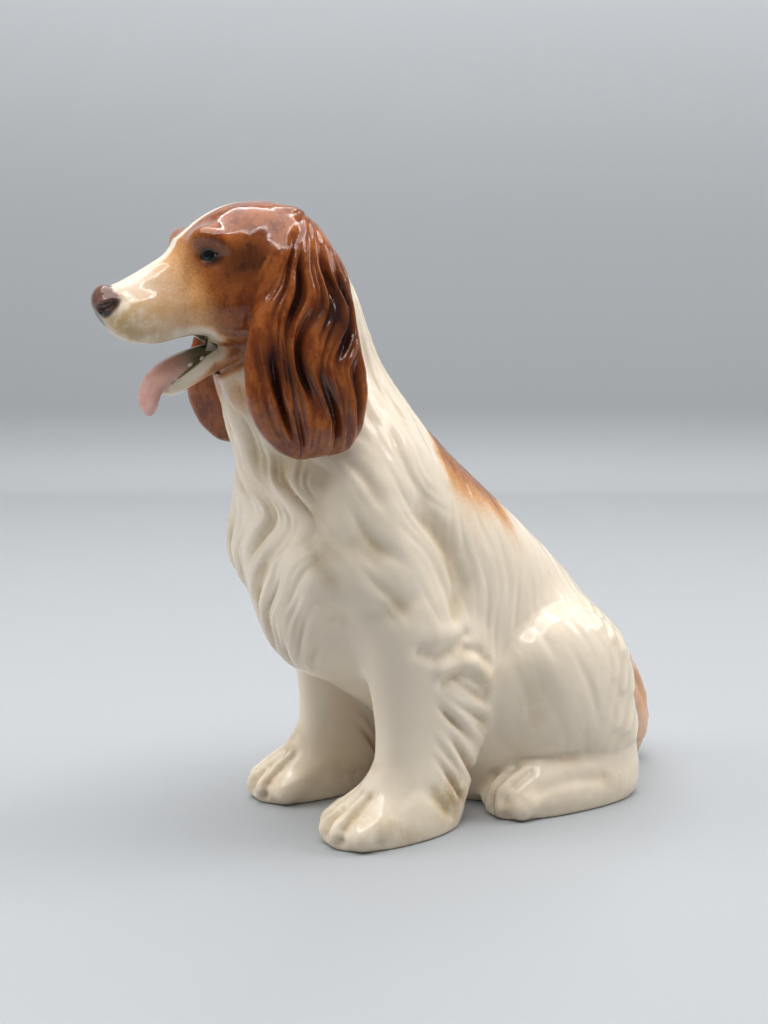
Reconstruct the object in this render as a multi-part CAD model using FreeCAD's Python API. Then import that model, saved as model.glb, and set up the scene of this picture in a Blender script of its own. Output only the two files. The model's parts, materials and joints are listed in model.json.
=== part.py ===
"""Seated spaniel figurine in glazed earthenware, as the castings that it is assembled from.

Millimetres. +Z is up, the dog faces -Y and its left side is +X. The origin is on the floor,
under the middle of the whole figure's box, and stations are measured from DATUM, close to it.
Each casting is luted to its neighbour with slip
along a shared face, so a limb is its own form less the form that it is stuck to.
"""
import FreeCAD, Part

import math
import os

V = FreeCAD.Vector

# ---- driving dimensions -------------------------------------------------------------
WALL = 3.6                  # thickness of the slip-cast shell
VENT_R = 1.6                # pierced holes that let air out of the cavities in the kiln
VENT_Y = 52.0               # where the base is pierced
NECK_Z = 128.0              # level plane where the head casting sits on the body casting
HEAD_AT = V(0, -45, 150)    # middle of the skull
HEAD_YAW = -9.0             # degrees about Z: the head looks a little to its right
FORELEG_X = 22.0            # middle of each foreleg, from the plane between them
HIND_X = 25.5               # middle of each hind foot
RING_POINTS = 16            # points that each closed section is drawn through
DATUM = V(0, -1.7, 0)       # stations are measured from here; the origin is the middle of the figure's box

# Body: level sections as (height, front, back, half width).
BODY = [
    (0.0, 13, 79, 15.0), (3.0, 9, 83, 18.5), (10.0, 4, 86, 22.5), (20.0, -1, 86, 26.0),
    (30.0, -8, 83, 28.5), (38.0, -20, 79, 29.5), (46.0, -30, 75, 30.0), (60.0, -41.5, 63, 30.5),
    (80.0, -47.5, 41, 29.0), (100.0, -50.5, 17.5, 26.0), (114.0, -52.5, 2.5, 21.5),
    (NECK_Z, -54, -8.5, 17.0),
]
# Neck stub on the head casting, carried up inside the skull.
NECK = [
    (NECK_Z, -54, -8.5, 17.0), (138.0, -50, -12.0, 15.5), (148.0, -46, -15, 14.5),
    (156.0, -47, -18.5, 12.5), (163.0, -46, -24.0, 9.5), (168.0, -44, -30.0, 6.0),
]
# Skull and muzzle, in the head's own frame: (distance back, underside, top, half width).
SKULL = [
    (-44.2, -3.6, 1.4, 3.4), (-42.0, -7.5, 3.4, 5.6), (-37.5, -10.6, 4.6, 7.4),
    (-31.0, -11.4, 8.2, 8.8), (-25.0, -11.2, 11.8, 10.4), (-19.0, -10.6, 16.4, 13.2),
    (-13.0, -12.0, 20.8, 16.0), (-6.0, -14.0, 23.8, 18.4), (1.0, -14.0, 24.8, 19.2),
    (8.0, -12.0, 23.2, 17.6), (14.5, -7.0, 18.6, 13.0), (18.5, 0.0, 12.0, 6.5),
]
# Lower jaw, drawn on a frame that is tipped down at the chin: (distance back, underside, top, half width).
JAW_TIP = 36.0              # degrees that the jaw hangs open
JAW_AT = V(0, -12.0, -11.4)  # back of the mouth, in the head's frame
JAW = [
    (-17.6, -3.6, 0.2, 2.8), (-15.2, -5.4, 1.2, 5.0), (-10.0, -6.0, 1.4, 7.2),
    (-4.0, -6.2, 1.2, 9.0), (3.0, -6.2, 0.6, 10.8), (10.0, -5.0, 0.0, 9.0),
]
# Tongue: centre line in the head's frame with half width and half thickness.
TONGUE = [
    (V(0, -10.0, -12.2), 5.4, 1.7), (V(0, -15.0, -13.6), 6.0, 1.8), (V(0.3, -20.5, -15.4), 6.0, 1.8),
    (V(0.8, -26.0, -17.8), 5.6, 1.8), (V(1.2, -30.0, -21.6), 5.2, 1.9), (V(1.4, -31.4, -26.0), 4.6, 1.8),
    (V(1.4, -31.0, -29.6), 2.6, 1.2),
]
# Left ear in the head's frame: (height, front, back, inner x, outer x).
EAR = [
    (19.5, 6.0, 13.5, 11.0, 14.6), (15.5, 2.0, 15.0, 12.2, 18.6), (8.0, -2.5, 18.8, 14.0, 22.2),
    (0.0, -6.5, 20.0, 15.8, 24.8), (-10.0, -10.0, 20.8, 17.6, 27.4), (-20.0, -11.4, 21.6, 19.0, 29.4),
    (-29.0, -10.8, 21.4, 19.6, 30.0), (-36.0, -6.4, 17.6, 20.0, 28.8), (-40.6, 0.0, 9.6, 21.4, 26.6),
]
# Left foreleg: (height, front, back, half width), level sections about x = FORELEG_X.
FORELEG = [
    (0.0, -32.5, 4.5, 9.6), (2.5, -35.4, 7.4, 11.2), (6.5, -35.0, 8.6, 11.4), (10.5, -31.5, 9.4, 10.4),
    (14.5, -26.0, 10.2, 8.6), (20.0, -21.6, 12.0, 7.8), (33.0, -21.2, 16.5, 8.0), (43.0, -22.4, 18.0, 8.8),
    (52.0, -24.6, 14.0, 9.6), (62.0, -28.0, 6.0, 10.0), (74.0, -31.0, -1.0, 9.4), (84.0, -31.0, -6.0, 7.4),
    (91.0, -28.0, -12.0, 3.6),
]
# Toes, as offsets (x, y) of each lobe from the foreleg's middle, and the lobe's half sizes.
FORE_TOES = [(-7.4, -28.6), (-2.6, -31.2), (2.8, -31.2), (7.6, -28.4)]
FORE_TOE_HALF = (3.3, 6.2, 4.6)
# Left hind foot and thigh: (height, front, back, half width).
HIND_FOOT = [
    (0.0, 13.5, 66.0, 7.6), (2.5, 10.4, 70.0, 9.6), (6.5, 10.0, 72.0, 10.0), (11.0, 14.0, 72.0, 8.8),
    (15.0, 23.0, 70.0, 6.6),
]
HOCK_AT = V(24.5, 62.5, 15.0)
HOCK_HALF = (8.6, 12.0, 14.0)
THIGH_AT = V(23.5, 42.5, 34.0)
THIGH_HALF = (12.6, 25.0, 22.6)
HIND_TOES = [(-6.4, 13.6), (-2.1, 12.0), (2.4, 12.2), (6.6, 14.0)]
HIND_TOE_HALF = (3.0, 6.0, 4.2)
# Tail: centre line with half width (x) and half depth, from the rump down to the floor.
TAIL = [
    (V(0, 76.0, 44.0), 4.0, 3.0), (V(0, 82.0, 37.0), 6.0, 4.0), (V(-0.5, 86.0, 27.0), 7.2, 4.6),
    (V(-1.5, 87.8, 17.0), 7.6, 4.6), (V(-3.0, 88.0, 8.0), 7.0, 4.4), (V(-4.5, 87.0, 0.0), 5.0, 3.4),
]
# Lower teeth: (distance from the chin, from the middle, height), canines first.
TEETH = [(-14.2, 3.4, 2.4), (-11.2, 5.0, 1.0), (-8.4, 6.0, 1.2), (-5.4, 6.9, 1.4), (-2.4, 7.6, 1.4)]
TOOTH_R = 1.2


def ring(centre, across, along, half_across, half_along):
    """A closed section: an ellipse drawn as one periodic spline, so that every section starts alike."""
    points = []
    for i in range(RING_POINTS):
        t = 2 * math.pi * i / RING_POINTS
        points.append(centre + across * (half_across * math.cos(t)) + along * (half_along * math.sin(t)))
    curve = Part.BSplineCurve()
    curve.interpolate(Points=points, PeriodicFlag=True)
    return Part.Wire([curve.toShape()])


def level_stack(stations, middle_x=0.0, grow=0.0):
    """A solid lofted through level sections (height, front, back, half width)."""
    rings = []
    for z, front, back, half in stations:
        centre = V(middle_x, (front + back) / 2.0, z)
        rings.append(ring(centre, V(1, 0, 0), V(0, 1, 0), half + grow, (back - front) / 2.0 + grow))
    return Part.makeLoft(rings, True, False)


def upright_stack(stations, grow=0.0):
    """A solid lofted through upright sections (distance back, underside, top, half width)."""
    rings = []
    for y, low, high, half in stations:
        centre = V(0, y, (low + high) / 2.0)
        rings.append(ring(centre, V(1, 0, 0), V(0, 0, 1), half + grow, (high - low) / 2.0 + grow))
    return Part.makeLoft(rings, True, False)


def sweep(line):
    """A solid lofted through sections square to a centre line of (point, half width in x, half thickness)."""
    rings = []
    for i, (point, wide, thick) in enumerate(line):
        before = line[max(i - 1, 0)][0]
        after = line[min(i + 1, len(line) - 1)][0]
        along = (after - before).normalize()
        across = V(1, 0, 0)
        rings.append(ring(point, across, along.cross(across).normalize(), wide, thick))
    return Part.makeLoft(rings, True, False)


def ellipsoid(centre, half):
    """A solid ellipsoid with these three half sizes."""
    grown = FreeCAD.Matrix()
    grown.scale(half[0], half[1], half[2])
    ball = Part.makeSphere(1.0).transformGeometry(grown)
    ball.translate(centre)
    return ball


def in_head_frame(shape):
    """Carries a shape from the head's own frame to the figure's."""
    placed = shape.copy()
    placed.rotate(V(0, 0, 0), V(0, 0, 1), HEAD_YAW)
    placed.translate(HEAD_AT)
    return placed


def mirrored(shape):
    return shape.mirror(V(0, 0, 0), V(1, 0, 0))


def above_floor(shape):
    """Cuts a foot flat where it stands."""
    size = 400.0
    return shape.common(Part.makeBox(size, size, size, V(-size / 2, -size / 2, 0)))


def hole(x, y, low, high):
    return Part.makeCylinder(VENT_R, high - low, V(x, y, low))


def body_outside():
    return level_stack(BODY)


def body_shell(outside):
    """Torso casting: a closed shell, pierced at the base and at the neck."""
    inside = [(z, front + WALL, back - WALL, half - WALL) for z, front, back, half in BODY[1:-1]]
    z, front, back, half = BODY[0]
    inside[0] = (WALL, front + WALL, back - WALL, half - WALL)
    inside.append((NECK_Z - WALL, BODY[-1][1] + 2 * WALL, BODY[-1][2] - 2 * WALL, BODY[-1][3] - 2 * WALL))
    shell = outside.cut(level_stack(inside))
    shell = shell.cut(hole(0, VENT_Y, -1.0, WALL + 2.0))
    return shell.cut(hole(HEAD_AT.x, -27.0, NECK_Z - 2 * WALL, NECK_Z + 1.0))


def head_outside():
    skull = in_head_frame(upright_stack(SKULL))
    return skull.fuse(level_stack(NECK))


def head_shell(outside):
    """Head casting: hollow skull on a neck stub, with a solid muzzle."""
    cavity = [(y, low + WALL, high - WALL, half - WALL) for y, low, high, half in SKULL[5:-1]]
    skull = in_head_frame(upright_stack(cavity))
    stub = [(z + (WALL if i == 0 else 0), front + WALL, back - WALL, half - WALL)
            for i, (z, front, back, half) in enumerate(NECK)]
    shell = outside.cut(skull.fuse(level_stack(stub[:-1])))
    return shell.cut(hole(HEAD_AT.x, -27.0, NECK_Z - 1.0, NECK_Z + WALL + 2.0))


def lower_jaw(head):
    """Jaw pressed in one with its lower teeth."""
    jaw = upright_stack(JAW)
    for y, x, tall in TEETH:
        for side in (-1, 1):
            jaw = jaw.fuse(Part.makeCone(TOOTH_R, TOOTH_R * 0.35, tall + 1.4, V(side * x, y, 0.4)))
    jaw.rotate(V(0, 0, 0), V(1, 0, 0), JAW_TIP)
    jaw.translate(JAW_AT)
    return in_head_frame(jaw).cut(head)


def tongue(head, jaw):
    return in_head_frame(sweep(TONGUE)).cut(head).cut(jaw)


def ear(side, head, body):
    rings = []
    for z, front, back, inner, outer in EAR:
        centre = V(side * (inner + outer) / 2.0, (front + back) / 2.0, z)
        rings.append(ring(centre, V(1, 0, 0), V(0, 1, 0), (outer - inner) / 2.0, (back - front) / 2.0))
    flap = in_head_frame(Part.makeLoft(rings, True, False))
    return flap.cut(head).cut(body)


def foreleg():
    """Left foreleg with its paw, before it is fitted to the body."""
    leg = level_stack(FORELEG, FORELEG_X)
    for x, y in FORE_TOES:
        leg = leg.fuse(ellipsoid(V(FORELEG_X + x, y, FORE_TOE_HALF[2] - 0.8), FORE_TOE_HALF))
    return above_floor(leg)


def hind_leg(fore):
    """Left thigh and hind foot, before they are fitted to the body."""
    leg = level_stack(HIND_FOOT, HIND_X)
    leg = leg.fuse(ellipsoid(HOCK_AT, HOCK_HALF)).fuse(ellipsoid(THIGH_AT, THIGH_HALF))
    for x, y in HIND_TOES:
        leg = leg.fuse(ellipsoid(V(HIND_X + x, y, HIND_TOE_HALF[2] - 0.8), HIND_TOE_HALF))
    return above_floor(leg).cut(fore)


def tail(body):
    return above_floor(sweep(TAIL)).cut(body)


def largest(shape):
    """The main solid of a shape, without the offcuts that a cut leaves."""
    return max(shape.Solids, key=lambda s: s.Volume)


def main():
    os.makedirs("parts", exist_ok=True)
    body = body_outside()
    head = head_outside()
    jaw = largest(lower_jaw(head))
    fore = foreleg()
    hind = hind_leg(fore)
    parts = {
        "body_shell": largest(body_shell(body)),
        "head_shell": largest(head_shell(head)),
        "lower_jaw": jaw,
        "tongue": largest(tongue(head, jaw)),
        "left_ear": largest(ear(1, head, body)),
        "right_ear": largest(ear(-1, head, body)),
        "left_foreleg": largest(fore.cut(body)),
        "right_foreleg": largest(mirrored(fore).cut(body)),
        "left_hind_leg": largest(hind.cut(body)),
        "right_hind_leg": largest(mirrored(hind).cut(body)),
        "tail": largest(tail(body)),
    }
    for name, shape in parts.items():
        shape.translate(DATUM)
        box = shape.BoundBox
        print(f"{name:15s} valid {shape.isValid()} volume {shape.Volume / 1000:7.2f} cm3  "
              f"x {box.XMin:6.1f} {box.XMax:6.1f}  y {box.YMin:6.1f} {box.YMax:6.1f}  "
              f"z {box.ZMin:6.1f} {box.ZMax:6.1f}")
        shape.exportStep(os.path.join("parts", name + ".step"))


main()
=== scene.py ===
"""A glazed ceramic figurine of a seated spaniel, built as one sculpt and parted into its castings."""
import bpy
import json
import math
import numpy as np
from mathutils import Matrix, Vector

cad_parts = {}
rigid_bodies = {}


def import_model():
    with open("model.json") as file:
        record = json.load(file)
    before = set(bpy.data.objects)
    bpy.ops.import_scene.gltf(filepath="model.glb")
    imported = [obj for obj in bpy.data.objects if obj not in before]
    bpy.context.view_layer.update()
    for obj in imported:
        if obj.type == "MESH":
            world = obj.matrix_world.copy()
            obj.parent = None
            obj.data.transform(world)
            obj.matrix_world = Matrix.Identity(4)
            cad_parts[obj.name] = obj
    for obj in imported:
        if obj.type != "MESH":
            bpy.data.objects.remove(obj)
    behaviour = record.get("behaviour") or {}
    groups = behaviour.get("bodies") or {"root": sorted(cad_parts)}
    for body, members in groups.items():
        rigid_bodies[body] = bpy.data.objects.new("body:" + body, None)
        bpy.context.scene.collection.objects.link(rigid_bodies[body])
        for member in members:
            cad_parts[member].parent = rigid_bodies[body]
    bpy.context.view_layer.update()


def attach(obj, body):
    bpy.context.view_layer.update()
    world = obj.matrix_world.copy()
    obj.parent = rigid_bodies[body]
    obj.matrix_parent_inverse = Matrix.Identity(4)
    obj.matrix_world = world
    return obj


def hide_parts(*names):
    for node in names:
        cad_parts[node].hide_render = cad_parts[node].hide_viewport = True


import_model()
MM = 0.001


# ======================================================================================
# Maths for the sculpt. Everything up to "Pieces" is in millimetres, in the figure's own
# stations: +Z up, the dog faces -Y, its left side is +X.
# ======================================================================================
def through(rows, t):
    """Every column of a table at t, on a smooth curve through its rows, held at the ends."""
    rows = np.asarray(rows, float)
    x, y = rows[:, 0], rows[:, 1:]
    slope = np.gradient(y, x, axis=0)
    t = np.clip(t, x[0], x[-1])
    i = np.clip(np.searchsorted(x, t, side="right") - 1, 0, len(x) - 2)
    h = (x[i + 1] - x[i])[:, None]
    u = (t - x[i])[:, None] / h
    start = (1 + 2 * u) * (1 - u) ** 2 * y[i] + u * (1 - u) ** 2 * h * slope[i]
    end = u * u * (3 - 2 * u) * y[i + 1] + u * u * (u - 1) * h * slope[i + 1]
    return (start + end).T


def ramp(low, high, t):
    """0 below low, 1 above high, smooth between them. low may be the larger."""
    u = np.clip((t - low) / (high - low), 0, 1)
    return u * u * (3 - 2 * u)


def join(a, b, soft):
    """Union of two solids, with a fillet."""
    h = np.maximum(soft - np.abs(a - b), 0) / soft
    return np.minimum(a, b) - h * h * soft / 4


def carve(a, b, soft):
    """Solid a less solid b, with an eased edge."""
    return -join(-a, b, soft)


def section(x, y, half_x, half_y, power):
    """Roughly the distance to a superellipse."""
    px, py = np.abs(x) / half_x, np.abs(y) / half_y
    s = px ** power + py ** power + 1e-9
    size = s ** (1 / power)
    slope = s ** (1 / power - 1) * np.hypot(px ** (power - 1) / half_x, py ** (power - 1) / half_y)
    return (size - 1) / np.maximum(slope, 0.3 / np.maximum(half_x, half_y))


def stack(along, across, deep, rows, power=2.0, egg=0.0):
    """A solid through sections of (along, low, high, half width); egg widens the high end."""
    low, high, half = through(rows, along)
    rise = (deep - (low + high) / 2) / ((high - low) / 2)
    half = half * (1 + egg * np.clip(rise, -1, 1))
    side = section(across, deep - (low + high) / 2, half, (high - low) / 2, power)
    past = np.maximum(rows[0][0] - along, along - rows[-1][0])
    return np.where(past > 0, np.hypot(np.maximum(side, 0), past), np.maximum(side, past))


def blob(p, centre, half, turn=None):
    """An ellipsoid; turn is a rotation matrix from its own axes to p's."""
    q = p - np.array(centre, float)
    if turn is not None:
        q = q @ turn
    half = np.array(half, float)
    k0 = np.linalg.norm(q / half, axis=1)
    k1 = np.linalg.norm(q / half ** 2, axis=1)
    return k0 * (k0 - 1) / np.maximum(k1, 1e-6)


def limb(p, points, soft=0.0):
    """A tube through points of (x, y, z, radius)."""
    best = None
    for a, b in zip(points[:-1], points[1:]):
        a, b = np.array(a, float), np.array(b, float)
        run = b[:3] - a[:3]
        t = np.clip((p - a[:3]) @ run / (run @ run), 0, 1)
        d = np.linalg.norm(p - a[:3] - t[:, None] * run, axis=1) - (a[3] + t * (b[3] - a[3]))
        best = d if best is None else (join(best, d, soft) if soft else np.minimum(best, d))
    return best


def tilt(degrees, axis):
    """Rotation matrix about one axis, 0 for X, 1 for Y and 2 for Z."""
    c, s = math.cos(math.radians(degrees)), math.sin(math.radians(degrees))
    i, j = [(1, 2), (2, 0), (0, 1)][axis]
    m = np.eye(3)
    m[i, i], m[i, j], m[j, i], m[j, j] = c, -s, s, c
    return m


def folded(p):
    """Both sides laid onto the left one."""
    return np.column_stack([np.abs(p[:, 0]), p[:, 1], p[:, 2]])


HEAD_AT = np.array([0, -45.0, 150.0])
HEAD_TURN = tilt(-9, 2)


def in_head(p):
    """Figure to head: the head's x is to its left, y is back and z is up."""
    return (p - HEAD_AT) @ HEAD_TURN


# ---- the castings' plain forms -------------------------------------------------------
# Sections of each form: its height (for the skull and muzzle, how far back), the low and high
# ends across it, and its half width. The ears' rows are height, front, back, inner and outer.
BODY = [
    (-2.0, 16, 80, 19.0), (0.0, 14.5, 81, 20.5), (3.0, 11, 83, 23), (10.0, 6, 84.0, 25.5),
    (20.0, -1, 83.5, 27.0), (30.0, -10, 81.5, 27.0), (38.0, -21, 78.5, 26.5), (46.0, -31, 73.5, 26),
    (60.0, -40.0, 62.5, 26.5), (72.0, -43.5, 50.5, 27), (85.0, -45.5, 36, 27), (97.0, -49, 22, 25.8),
    (106.0, -50.5, 12, 24.2), (115.0, -52.5, 3.5, 21.5), (124.0, -55.5, -3.5, 18.5),
    (131.0, -57, -8.2, 16.5), (140.0, -51, -12.4, 15.5), (154.0, -46, -18.5, 13.5),
    (164.0, -44, -26, 9.5),
]
SKULL = [
    (-22.0, -5, 15.0, 9.5), (-16.0, -10, 20.2, 13.8), (-9.0, -13, 23.8, 17.0),
    (-2.0, -14.0, 25.0, 18.6), (5.0, -13.5, 24.6, 18.4), (11.0, -11, 21.2, 15.6),
    (16.0, -6, 16.5, 11.5), (20.0, 2, 11.0, 5.0),
]
MUZZLE = [
    (-44.4, -2.8, -0.4, 2.0), (-43.6, -4.6, 1.0, 4.0), (-41.6, -7.4, 2.4, 5.6),
    (-38.5, -10.4, 3.6, 6.9), (-33.0, -12.0, 6.4, 8.0), (-27.0, -12.0, 9.9, 9.2),
    (-21.5, -10.6, 12.6, 10.8), (-15.0, -11, 14.6, 13.0), (-8.0, -12, 14.0, 14.0),
    (0.0, -12, 10.0, 12.0),
]
EAR = [
    (-42.0, 2.5, 10.5, 25.0, 25.6), (-40.8, -0.5, 14.2, 22.8, 27.4), (-37.0, -5.6, 18.4, 21.0, 29.6),
    (-30.0, -10.0, 21.4, 19.6, 30.4), (-20.0, -11.2, 21.8, 18.6, 29.8), (-10.0, -9.8, 20.4, 17.2, 27.8),
    (0.0, -6.2, 19.4, 15.4, 25.2), (8.0, -2.0, 18.2, 12.8, 22.2), (14.0, 1.2, 15.4, 9.0, 18.6),
    (19.0, 4.5, 12.0, 6.0, 13.0), (21.5, 7.5, 9.5, 7.5, 9.5),
]
FORELEG = [
    (-2.0, -34.5, 3.5, 9.8), (0.0, -36.0, 5.0, 10.8), (3.0, -37.4, 6.4, 11.4), (7.0, -36.0, 7.6, 11.1),
    (10.5, -32.0, 8.6, 10.1), (14.0, -26.4, 9.8, 8.7), (20.0, -21.6, 12.0, 7.6),
    (27.0, -20.6, 14.5, 7.4), (35.0, -21.2, 17.0, 7.8), (43.0, -22.6, 17.6, 8.6),
    (52.0, -25.0, 13.0, 9.6), (62.0, -28.5, 5.0, 10.2), (72.0, -32.0, -2.0, 9.8),
    (82.0, -33.0, -8.0, 8.6), (92.0, -31.0, -14.0, 5.5),
]
HIND_FOOT = [
    (-2.0, 19, 64, 8.6), (0.0, 17, 65.5, 9.8), (3.0, 15.4, 67.4, 10.6), (7.0, 15.0, 68, 10.4),
    (11.0, 18.0, 68, 9.2), (14.0, 24, 67, 7.6), (17.0, 31, 64, 5.0),
]


def body_form(p):
    """The torso, up to the neck."""
    d = stack(p[:, 2], p[:, 0], p[:, 1], BODY, 2.1, -0.06)
    a = folded(p)
    d = join(d, blob(a, (16, -24, 92), (13.5, 19, 25), tilt(-14, 0)), 9)       # shoulder
    d = join(d, blob(a, (20, -31, 78), (9.5, 13, 14)), 8)                      # point of the shoulder
    d = join(d, blob(a, (18, 46, 36), (12, 24, 22)), 10)                       # haunch, under the thigh
    d = join(d, blob(p, (0, -29, 74), (17, 15, 29)), 10)                       # chest
    return d


FORE_X, HIND_X = 22.6, 26.4                        # middles of the paws
FORE_TOES = [                                      # (x, y, z, radius)
    (14.4, -30.5, 4.6, 4.2), (19.5, -33.6, 4.8, 4.3), (25.4, -33.6, 4.8, 4.3), (30.6, -30.2, 4.6, 4.2),
]
HIND_TOES = [(19.6, 20.5), (24.2, 18.0), (28.8, 18.4), (32.8, 21.5)]                # (x, y)


def foreleg_form(a):
    """The left foreleg with its toes."""
    d = stack(a[:, 2], a[:, 0] - FORE_X, a[:, 1], FORELEG, 2.2, -0.14)
    for x, y, z, r in FORE_TOES:
        knuckle = (FORE_X + (x - FORE_X) * 0.75, y + 13, z + 4.0, 3.6)
        toe = limb(a, [knuckle, (x, y + 4, z + 1.2, r), (x, y, z - 0.6, r - 0.4)])
        d = join(d, toe, 1.6)
    return d


def thigh_form(a):
    """The left thigh, and the hock behind it."""
    d = blob(a, (25.5, 41.5, 35.5), (11.5, 24.8, 22.5), tilt(-8, 0))
    return join(d, blob(a, (25.5, 54.5, 20), (9.5, 13.6, 13)), 6)


def hind_leg_form(a):
    """The left thigh and hind foot, with a hollow in front of the thigh."""
    foot = stack(a[:, 2], a[:, 0] - HIND_X, a[:, 1], HIND_FOOT, 2.3)
    for x, y in HIND_TOES:
        toe = limb(a, [(26 + (x - 26) * 0.8, y + 11, 7.6, 3.6), (x, y + 2, 4.6, 3.7), (x, y, 3.4, 3.4)])
        foot = join(foot, toe, 1.6)
    leg = join(thigh_form(a), foot, 2.5)
    return carve(leg, blob(a, (36.5, 21.5, 28), (5.0, 7.0, 14), tilt(-8, 0)), 8)


EYE = np.array([11.6, -16.2, 10.4])
EYE_R = 2.35
EYE_OUT = np.array([0.80, -0.58, 0.12])
EYE_FORE = np.array([-0.56, -0.80, -0.22])
EYE_UP = np.array([-0.22, 0.02, 0.97])


def round_eye(*places):
    """Points on the eyeball from (out, fore, up, radius of the lid there)."""
    return [(*(EYE + EYE_R * (o * EYE_OUT + f * EYE_FORE + u * EYE_UP)), r) for o, f, u, r in places]


def eye_region(m, d):
    """Socket, ball and lids added to the skull."""
    d = carve(d, blob(m, (15.2, -18.4, 11.6), (2.2, 4.2, 2.0), tilt(-20, 0)), 4.0)
    d = join(d, np.linalg.norm(m - EYE, axis=1) - EYE_R, 0.3)
    upper = round_eye((0.40, 1.15, -0.20, 0.2), (0.86, 0.66, 0.62, 0.3), (0.98, 0.05, 0.86, 0.4),
                      (0.88, -0.66, 0.62, 0.35), (0.45, -1.15, 0.06, 0.2))
    lower = round_eye((0.40, 1.15, -0.20, 0.2), (0.80, 0.60, -0.66, 0.3), (0.88, 0.0, -0.86, 0.35),
                      (0.80, -0.66, -0.56, 0.3), (0.45, -1.15, 0.06, 0.2))
    d = join(d, limb(m, upper), 0.5)
    return join(d, limb(m, lower), 0.6)


def nose_pad(m):
    """The bare nose: a pad and a wing each side."""
    wing = folded(m)
    d = blob(m, (0, -41.8, -0.8), (4.8, 3.2, 4.0))
    d = join(d, blob(wing, (3.9, -40.6, -2.2), (2.4, 3.7, 3.0)), 0.7)
    return join(d, blob(m, (0, -40.8, -4.4), (3.2, 2.2, 2.8)), 1.0)


def nose_region(m, d):
    """The nose pad with its nostrils, and the split under it."""
    d = join(d, nose_pad(m), 0.6)
    hole = [(2.6, -45.0, -3.0, 0.9), (3.9, -43.6, -2.8, 1.15), (5.6, -42.0, -2.0, 0.7),
            (6.6, -40.4, -0.6, 0.5)]
    d = carve(d, limb(m, hole, 0.5), 0.6)
    return carve(d, limb(m, [(0, -45.4, -3.4, 0.5), (0, -43.4, -7.0, 0.6), (0, -40.4, -10.2, 0.5)]), 0.5)


def skull_form(h):
    """Skull, muzzle, eyes and nose, in the head's frame."""
    m = folded(h)
    d = stack(h[:, 1], h[:, 0], h[:, 2], SKULL, 2.15)
    d = join(d, stack(h[:, 1], h[:, 0], h[:, 2], MUZZLE, 2.5, -0.22), 6)
    d = join(d, blob(m, (10.4, -14.6, 13.0), (6.2, 7.0, 5.0), tilt(-24, 0)), 4)      # brow
    d = join(d, blob(m, (12.0, -8.0, -2.0), (6.5, 13.0, 9.0)), 5)                     # cheek
    d = join(d, blob(m, (6.6, -29.0, -6.5), (3.2, 9.5, 5.4)), 5)                      # lip pad
    ridge = [(11.0, -19.5, -6.0, 0.8), (13.6, -15.5, -6.6, 1.5), (15.4, -11.5, -7.2, 1.7),
             (16.4, -8.0, -7.8, 1.0)]
    crease = [(14.6, -17.5, -8.8, 0.3), (16.4, -13.0, -9.6, 0.5), (17.6, -9.0, -9.8, 0.4)]
    d = join(d, limb(m, ridge), 3.0)
    d = carve(d, limb(m, crease), 1.6)
    d = carve(d, blob(m, (17.6, -10.4, -14.4), (2.4, 2.2, 3.6), tilt(-20, 0)), 1.6)    # hollow by the ear
    d = eye_region(m, d)
    return nose_region(m, d)


def mouth_space(h):
    """The gap between the jaws, in the head's frame."""
    rows = [(-60, -40, -11.5, 20), (-36, -30, -12.2, 20), (-30, -26, -12.0, 20), (-24, -21.5, -10.6, 20),
            (-19, -17.8, -10.0, 20), (-16.4, -15.6, -10.6, 20), (-14.8, -13.6, -12.4, 20)]
    return stack(h[:, 1], h[:, 0], h[:, 2], rows, 4)


def palate(h):
    """The hollow of the upper jaw, behind the lips."""
    return blob(h, (0, -24.0, -11.0), (6.4, 11.5, 5.0))


def jaw_trough(h):
    """The hollow of the lower jaw, inside the row of teeth."""
    line = [(0, -10, -11.0, 5.0), (0, -16, -14.6, 4.6), (0, -21, -18.4, 3.4), (0, -24, -21.2, 2.0)]
    return limb(h, line, 1.0)


def jaw_form(h):
    """The lower jaw with its trough."""
    rows = [(-27.2, -25.4, -23.0, 2.6), (-26.2, -26.0, -21.6, 4.2), (-24.0, -26.0, -19.8, 5.4),
            (-20, -24.2, -17.2, 6.8), (-15, -21.2, -14.4, 8.8), (-9, -17.8, -11.8, 11.2),
            (0, -13.6, -8, 12)]
    d = stack(h[:, 1], h[:, 0], h[:, 2], rows, 2.3)
    return carve(d, jaw_trough(h), 0.6)


FAR_EAR_SHIFT = np.array([0, 2.0, 1.8])


def ear_form(h, side):
    """One ear: side is 1 for the left and -1 for the right, which hangs further forward and lower."""
    x = h[:, 0] * side
    if side < 0:
        h = h + FAR_EAR_SHIFT
    front, back, inner, outer = through(EAR, h[:, 2])
    middle_y, middle_x = (front + back) / 2, (inner + outer) / 2
    d = section(h[:, 1] - middle_y, x - middle_x, (back - front) / 2, (outer - inner) / 2, 2.3)
    past = np.maximum(EAR[0][0] - h[:, 2], h[:, 2] - EAR[-1][0])
    return np.where(past > 0, np.hypot(np.maximum(d, 0), past), np.maximum(d, past))


# (step along, x, y, z, half width, half thickness)
TONGUE = [
    (0, 0, -12, -14.5, 4.2, 1.5), (1, 0, -18, -16.2, 4.8, 1.5), (2, 0.4, -24, -18.6, 5.0, 1.6),
    (3, 0.8, -28.8, -22.2, 4.9, 1.7), (4, 1.2, -30.8, -26.4, 4.4, 1.6), (4.7, 1.4, -31.0, -29.2, 3.2, 1.4),
    (5.1, 1.4, -30.8, -30.4, 1.8, 1.0),
]
TONGUE_ROLL = math.radians(-22)


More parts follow.
